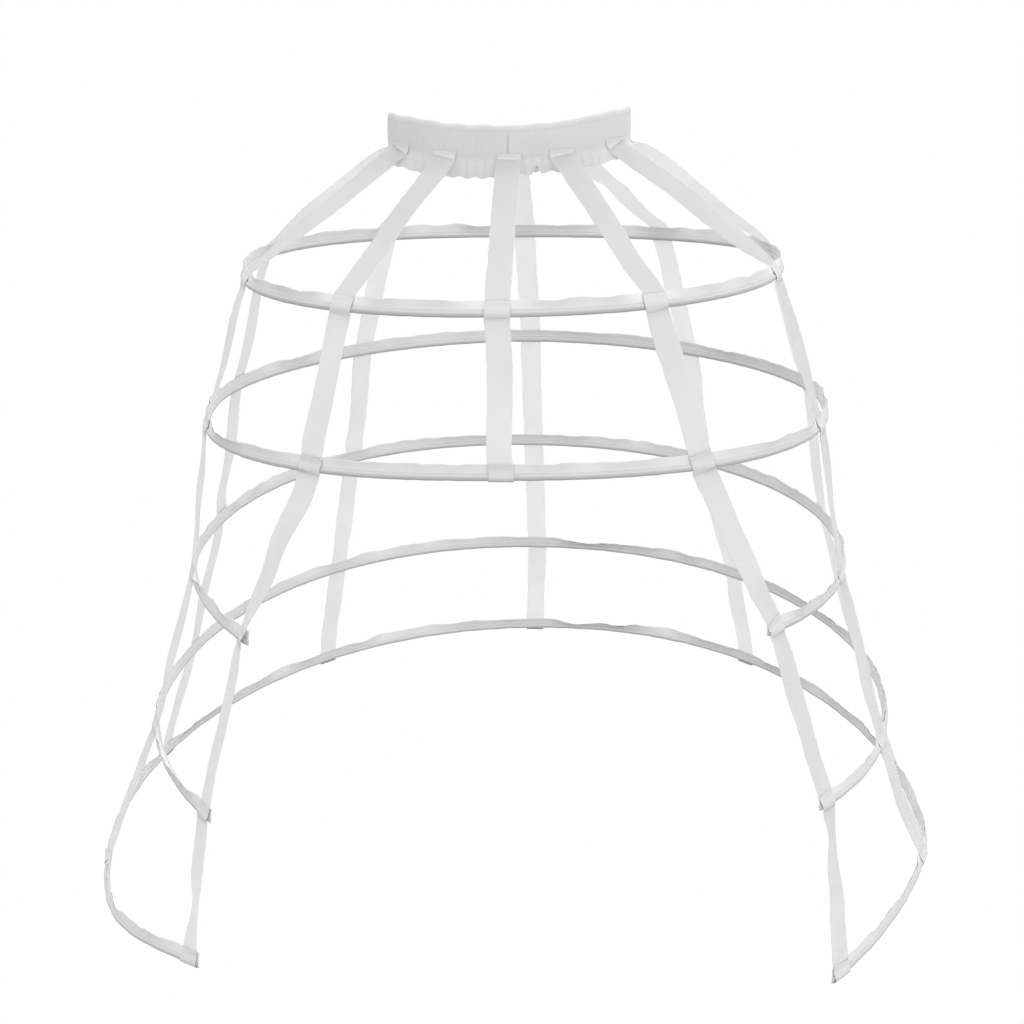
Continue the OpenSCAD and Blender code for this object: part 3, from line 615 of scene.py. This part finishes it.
def make_casing(i):
    closed = i < 2
    name = "hoop_%d_casing" % (i + 1)
    fine = np.arange(0, 360.001, 0.05)
    arc = np.concatenate([[0], np.cumsum(np.linalg.norm(np.diff(hoop_basis(i, fine)[0], axis=0), axis=1))])
    if closed:
        s_from, s_to = 0.0, arc[-1]
    else:
        a, b = RIGHT[i][0], 360 - LEFT[i][0]
        s_from = np.interp(a - END_PAST / mm_per_degree(i, a), fine, arc)
        s_to = np.interp(b + END_PAST / mm_per_degree(i, b), fine, arc)
    length = s_to - s_from
    n = int(length / 4.0)
    s = np.linspace(s_from, s_to, n, endpoint=not closed)
    if not closed:
        extra = np.array([0.5, 1.2, 2.1, 3.1])
        s = np.unique(np.concatenate([s, s_from + extra, s_to - extra]))
        n = len(s)
    t = np.interp(s, arc, fine)
    c, out = hoop_basis(i, t)
    if closed:
        c, out = (smooth_rows(np.concatenate([q[-30:], q, q[:30]]), 2.2)[30:-30] for q in (c, out))
    else:
        c, out = smooth_rows(c, 2.2), smooth_rows(out, 2.2)
    out = unit(out)
    period = arc[-1] if closed else None
    signed = np.where(t > 180, t - 360, t)
    # distance to the nearest tape, and how that tape leans as it comes down
    gap, slope = np.full(n, 1e9), np.zeros(n)
    for a, lean_in in SLOPES[i]:
        e = np.abs(s - np.interp(a % 360, fine, arc))
        if closed:
            e = np.minimum(e, arc[-1] - e)
        slope = np.where(e < gap, lean_in, slope)
        gap = np.minimum(gap, e)
    free = np.clip((gap - 12.5) / 30.0, 0, 1)
    free = free * free * (3 - 2 * free)
    seed = 3000 + 50 * i
    lean = np.radians(free * (ease(signed, EDGE_LEAN[i]) + 5 * waves(s, seed, 45, 130, period=period)) + (1 - free) * slope)
    tall = 9.6 + free * (0.5 * waves(s, seed + 1, 30, 90, period=period) + 0.12 * waves(s, seed + 2, 9, 22, period=period))
    tall_in = tall - 0.3 + 0.35 * waves(s, seed + 3, 15, 60, period=period)
    ripple = free * 0.16 * waves(s, seed + 4, 12, 34, count=10, period=period)
    part = free * np.abs(0.35 * waves(s, seed + 5, 25, 90, period=period)) + 0.04
    pinch = np.ones(n)
    if not closed:
        e = np.minimum(s - s_from, s_to - s)
        pinch = 0.07 + 0.93 * np.clip(e / 3.4, 0, 1) ** 0.6          # the end is sewn flat
        tall = tall - 1.2 * np.clip(1 - e / 5.0, 0, 1)
        tall_in = tall_in - 1.2 * np.clip(1 - e / 5.0, 0, 1)
    fr = np.array([0, 0.07, 0.18, 0.36, 0.56, 0.78, 0.94, 1.0])
    bend = np.clip(0.3 + fr * 1.9, 0, 1)

    def flange(height, side):
        o = np.zeros((n, len(fr)))
        h = np.full((n, len(fr)), 3.75)
        for k in range(1, len(fr)):
            th = lean * (bend[k] + bend[k - 1]) / 2
            step = height * (fr[k] - fr[k - 1])
            o[:, k] = o[:, k - 1] - step * np.sin(th)
            h[:, k] = h[:, k - 1] + step * np.cos(th)
        th = lean[:, None] * bend[None, :]
        off = side * (CLOTH / 2 + part[:, None] * fr[None, :] ** 1.5) + ripple[:, None] * np.sin(fr * 2.6)[None, :] ** 1.0
        return o + np.cos(th) * off, h + np.sin(th) * off
    oo, ho = flange(tall, 1)
    oi, hi = flange(tall_in, -1)
    ang = np.radians(np.linspace(64, -244, 17))
    wob = 1 + 0.025 * waves(s, seed + 6, 14, 60, period=period)
    ot = TUBE_R * np.cos(ang)[None, :] * (pinch * wob)[:, None]
    ht = TUBE_R * np.sin(ang)[None, :] * wob[:, None]
    o = np.concatenate([oo[:, ::-1], ot, oi], 1)
    h = np.concatenate([ho[:, ::-1], ht, hi], 1)
    du, dv = np.gradient(o, axis=1), np.gradient(h, axis=1)
    ln = np.maximum(np.hypot(du, dv), 1e-9)
    no, nh = -dv / ln, du / ln
    m = o.shape[1]
    th = np.full(m, CLOTH)
    th[[0, -1]] = CLOTH * 0.6

    def shape(sign):
        a, b = o + sign * no * th / 2, h + sign * nh * th / 2
        q = c[:, None, :] + out[:, None, :] * a[..., None]
        q[..., 2] += b
        return q
    front, back = shape(1), shape(-1)
    v = np.concatenate([np.zeros((n, 1)), np.cumsum(np.hypot(np.diff(o, axis=1), np.diff(h, axis=1)), 1)], 1)
    ob = slab(name, front[:, ::-1], back[:, ::-1], np.broadcast_to((s - s_from)[:, None], (n, m)), v[:, ::-1], CASING_MAT, closed)
    ob.data.materials.append(BONE_SHADOW_MAT)
    ob.data.materials.append(TUBE_SHADE_MAT)
    j = np.arange(m - 1)[::-1]
    # the tube's outer face from its middle down, its underside and its inner side take the painted bone shadow, and the
    # top of the tube the lighter painted shade; the right end, which has no bone, gets only the lighter painted shade
    faces = np.where((j >= 10) & (j <= 20), 1, np.where((j >= 7) & (j < 25), 2, 0))[None, :]
    end = np.zeros(n, bool) if closed else (s[:-1] + s[1:]) / 2 < s_from + 16     # no bone in the right end
    faces = np.where(end[:, None] & (faces == 1), 2, faces)
    kind = np.tile(faces.astype(np.int32).ravel(), 2)
    kind = np.concatenate([kind, np.zeros(len(ob.data.polygons) - len(kind), np.int32)])
    ob.data.polygons.foreach_set("material_index", kind)
    place(ob, [name])
    # stitched just above the bone, seen on both faces
    facing = unit(front - back)
    rows = []
    for k, g in ((6, 1), (m - 7, 1)):
        rows.append(along_line(front[:, k], facing[:, k], 3.3, 2.5, closed))
    st = stitch_object("hoop_%d_stitching" % (i + 1), rows, 0.27, THREAD_MAT)
    place(st, [])
    hoop_objects.append(ob)
    hoop_lengths.append(length)


for i in range(5):
    make_casing(i)

# ------------------------------------------------------------------ waistband
# How far the frill under the elastic hangs below the casing's plain edge, round the front (left is negative)
HEM = [(-180, 0), (-110, 0), (-90, 0), (-72, 2), (-58, 5), (-42, 7.5), (-25, 7), (-8, 6), (0, 4), (8, 3), (11, 3), (13.5, -4), (16, 2.5), (30, 4), (45, 4), (60, 2), (75, 1), (90, 0), (110, 0), (180, 0)]


FLARE = [(0, 0.5), (20, 0.5), (40, 1.5), (55, 4), (70, 6.5), (100, 7.5), (120, 5), (150, 4), (180, 3)]


def make_waistband():
    fine = np.arange(0, 360.001, 0.05)
    arc = np.concatenate([[0], np.cumsum(np.linalg.norm(np.diff(waist_xy(fine), axis=0), axis=1))])
    total = arc[-1]
    n = 1120
    s = np.arange(n) * total / n
    t = np.interp(s, arc, fine)
    signed = np.where(t > 180, t - 360, t)
    tape_t = [0.0, 180.0] + WAIST_R + [360 - a for a in WAIST_L]
    near = np.full(n, 1e9)
    for a in tape_t:
        e = np.abs(s - np.interp(a, fine, arc))
        near = np.minimum(near, np.minimum(e, total - e))
    flat = 0.15 + 0.85 * np.clip((near - 12) / 8, 0, 1)            # the tapes sewn over it hold the gathers flat
    flare = ease(np.abs(signed), FLARE)

    def pleats(lam, seed, sharp):
        k = round(total / lam)
        ph = 2 * math.pi * k * s / total + 1.5 * waves(s, seed, 25, 120, period=total)
        return 2 * np.abs(np.cos(ph / 2)) ** sharp - 1
    fineg = pleats(4.6, 71, 0.8) * (0.8 + 0.25 * waves(s, 72, 30, 120, period=total))
    shifted = pleats(4.6, 74, 0.8)
    big = pleats(9.5, 75, 0.9) * flat
    fine_in = pleats(4.6, 81, 0.8)
    big_in = pleats(9.5, 83, 0.9) * flat
    hem = ease(signed, HEM) + 0.8 * waves(s, 85, 14, 60, period=total) + 0.15 * waves(s, 86, 4, 9, period=total)
    hem_in = ease(signed, HEM) * 0.6 + 1.0 * waves(s, 87, 10, 60, period=total)
    top = 0.7 * waves(s, 88, 25, 110, period=total)

    # (height, distance out, fine gathers, frill gathers)
    outer = [(-23.0, 2.9, 0.2, 1.1), (-21.6, 2.85, 0.22, 1.05), (-19.0, 2.7, 0.26, 0.85), (-15.5, 2.5, 0.28, 0.6), (-12.6, 2.3, 0.26, 0.35), (-11.2, 2.05, 0.18, 0.2), (-9.8, 2.05, 0.2, 0.12),
             (-8.2, 2.25, 0.3, 0.08), (-5.0, 2.45, 0.38, 0), (0.0, 2.55, 0.4, 0), (5.0, 2.55, 0.4, 0), (10.0, 2.5, 0.38, 0), (14.5, 2.4, 0.34, 0), (16.6, 2.2, 0.24, 0), (18.2, 2.2, 0.24, 0), (20.2, 2.15, 0.28, 0), (22.0, 1.6, 0.24, 0), (22.9, 0.8, 0.18, 0)]
    o, h = [], []
    for z, d, a, b in outer:
        f = np.clip((-z - 9) / 14, 0, 1)
        mix = np.clip((z + 6) / 18, 0, 1)
        g = fineg * (1 - 0.5 * mix) + shifted * 0.5 * mix
        press = 1 - np.clip((-z - 2) / 3, 0, 1) * np.clip((z + 14) / 3, 0, 1) * (1 - flat)
        o.append(d * (0.92 + 0.08 * press) + (0.42 * a * g + 0.75 * b * big) * press + flare * f ** 1.3)
        h.append(z - f * hem + np.clip((z - 12) / 11, 0, 1) * top)
    o.append(0.0 + 0.15 * fineg)
    h.append(23.2 + top)
    for z, d, a, b in outer[::-1]:
        f = np.clip((-z - 9) / 14, 0, 1)
        o.append(-(d + a * fine_in + b * big_in) + flare * f ** 1.3)
        h.append(z - f * hem_in + np.clip((z - 12) / 11, 0, 1) * top)
    o, h = np.stack(o, 1), np.stack(h, 1)
    # the join at the front: the cloth's end is turned in, leaving a short open groove
    x = np.where(s > total / 2, s - total, s)

    def groove(at, depth, width, z0, z1):
        k = np.exp(-((x[:, None] - at) / width) ** 2)
        z = h[:, :len(outer)]
        w = np.clip((z - z0) / 3, 0, 1) * np.clip((z1 - z) / 3, 0, 1)
        o[:, :len(outer)] -= depth * k * w
    groove(-1.0, 2.0, 0.9, -9.5, 14)
    o[:, :len(outer)] += 0.5 * np.exp(-((x[:, None] - 1.6) / 1.6) ** 2)
    groove(-72.5, 1.5, 0.8, -5, 5)
    groove(-66.0, 1.7, 0.8, -5, 5)
    du, dv = np.gradient(o, axis=1), np.gradient(h, axis=1)
    ln = np.maximum(np.hypot(du, dv), 1e-9)
    no, nh = dv / ln, -du / ln
    th = 0.5

    def shape(sign):
        a, b = o + sign * no * th / 2, h + sign * nh * th / 2
        q = np.stack([waist_point(t, a[:, k], b[:, k]) for k in range(a.shape[1])], 1)
        return q
    front, back = shape(1), shape(-1)
    m = o.shape[1]
    v = np.concatenate([np.zeros((n, 1)), np.cumsum(np.hypot(np.diff(o, axis=1), np.diff(h, axis=1)), 1)], 1)
    ridge = (front[:, 9] + back[:, 9]) / 2
    step = np.concatenate([[0], np.cumsum(np.linalg.norm(np.diff(ridge, axis=0), axis=1))])
    ob = slab("waistband", front, back, np.broadcast_to(step[:, None], (n, m)), v, BAND_MAT, True)
    place(ob, ["waistband"])
    facing = unit(front - back)
    rows = []
    for k in (5, 14, m - 6, m - 15):
        line = smooth_rows(front[:, k], 2.0)
        rows.append(along_line(line + facing[:, k] * 0.1, facing[:, k], 3.1, 2.3, True))
    st = stitch_object("waistband_stitching", rows, 0.27, THREAD_MAT)
    place(st, [])
    return ob


make_waistband()
sewn = stitch_object("tape_stitching", tape_stitches, 0.27, THREAD_MAT)
place(sewn, [])

# ------------------------------------------------------------------ what stays as built: elastic, bones, joiners and tips
for node, mat in [("waist_elastic", ELASTIC_MAT), ("bone_tips", TIP_MAT), ("hoop_1_joiner", JOINER_MAT), ("hoop_2_joiner", JOINER_MAT)] + [("hoop_%d_bone" % k, STEEL_MAT) for k in range(1, 6)]:
    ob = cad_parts[node]
    ob.data.materials.clear()
    ob.data.materials.append(mat)

# ------------------------------------------------------------------ stage, light and camera
def stage_material(name, strength):
    mat = bpy.data.materials.new(name)
    mat.use_nodes = True
    nt = mat.node_tree
    for n in list(nt.nodes):
        nt.nodes.remove(n)
    out = nt.nodes.new("ShaderNodeOutputMaterial")
    em = nt.nodes.new("ShaderNodeEmission")
    em.inputs[0].default_value = (1, 1, 1, 1)
    em.inputs[1].default_value = strength
    nt.links.new(em.outputs[0], out.inputs[0])
    return mat


def only_seen(ob):
    ob.visible_diffuse = False
    ob.visible_glossy = False
    ob.visible_transmission = False
    ob.visible_volume_scatter = False
    ob.visible_shadow = False


me = bpy.data.meshes.new("floor")
me.from_pydata([(-80, -80, -1.02), (80, -80, -1.02), (80, 80, -1.02), (-80, 80, -1.02)], [], [(0, 1, 2, 3)])
floor = bpy.data.objects.new("floor", me)
me = bpy.data.meshes.new("backdrop")
ring = [(50 * math.cos(a), 50 * math.sin(a)) for a in np.arange(48) * 2 * math.pi / 48]
me.from_pydata([(x, y, -1.0) for x, y in ring] + [(x, y, 30.0) for x, y in ring] + [(0, 0, 45.0)], [],
               [(k, (k + 1) % 48, 48 + (k + 1) % 48, 48 + k) for k in range(48)] + [(48 + k, 48 + (k + 1) % 48, 96) for k in range(48)])
backdrop = bpy.data.objects.new("backdrop", me)
for ob in (floor, backdrop):
    bpy.context.scene.collection.objects.link(ob)
    ob.data.materials.append(stage_material(ob.name + "_white", 1.0))
    only_seen(ob)

world = bpy.data.worlds.new("studio")
bpy.context.scene.world = world
world.use_nodes = True
nt = world.node_tree
bg = nt.nodes["Background"]
coord = nt.nodes.new("ShaderNodeTexCoord")
# a soft room: brighter above, behind and to the right, with a dark floor
parts = nt.nodes.new("ShaderNodeSeparateXYZ")
nt.links.new(coord.outputs["Generated"], parts.inputs[0])


def world_math(op, a, b, c=None):
    m = nt.nodes.new("ShaderNodeMath")
    m.operation = op
    for k, v in enumerate((a, b, c)):
        if v is None:
            continue
        if isinstance(v, (int, float)):
            m.inputs[k].default_value = v
        else:
            nt.links.new(v, m.inputs[k])
    return m.outputs[0]


wx, wy, wz = parts.outputs[0], parts.outputs[1], parts.outputs[2]
fx = world_math("MULTIPLY_ADD", wx, -0.06, 0.12)
fy = world_math("MULTIPLY_ADD", wy, 0.29, 0.12)
fz = world_math("MULTIPLY_ADD", wz, -0.23, 0.58)
level = world_math("MULTIPLY_ADD", wx, fx, 0.86)
level = world_math("MULTIPLY_ADD", wy, fy, level)
level = world_math("MULTIPLY_ADD", wz, fz, level)
low = nt.nodes.new("ShaderNodeMath")
low.operation = "MAXIMUM"
low.inputs[1].default_value = 0.02
nt.links.new(level, low.inputs[0])
nt.links.new(low.outputs[0], bg.inputs["Strength"])
bg.inputs["Color"].default_value = (1, 1, 1, 1)


def softbox(name, at, to, size, watts):
    light = bpy.data.lights.new(name, "AREA")
    light.shape = "RECTANGLE"
    light.size, light.size_y = size
    light.energy = watts
    ob = bpy.data.objects.new(name, light)
    ob.location = at
    ob.rotation_mode = "QUATERNION"
    ob.rotation_quaternion = (Vector(to) - Vector(at)).to_track_quat("-Z", "Y")
    bpy.context.scene.collection.objects.link(ob)
    return ob


softbox("overhead", (0.3, 0.8, 1.5), (0, 0.2, -0.3), (1.8, 1.8), 1.6)

yaw, pitch, dist = math.radians(3.05), math.radians(17.27), 2.2
cam = bpy.data.cameras.new("camera")
cam.sensor_width = 36.0
cam.lens = 74.34
cam.clip_start, cam.clip_end = 0.05, 200
camera = bpy.data.objects.new("camera", cam)
camera.location = (dist * math.sin(yaw), -dist * math.cos(yaw), 0.282)
look = Vector((-math.sin(yaw) * math.cos(pitch), math.cos(yaw) * math.cos(pitch), -math.sin(pitch)))
camera.rotation_mode = "QUATERNION"
camera.rotation_quaternion = look.to_track_quat("-Z", "Y")
bpy.context.scene.collection.objects.link(camera)
bpy.context.scene.camera = camera
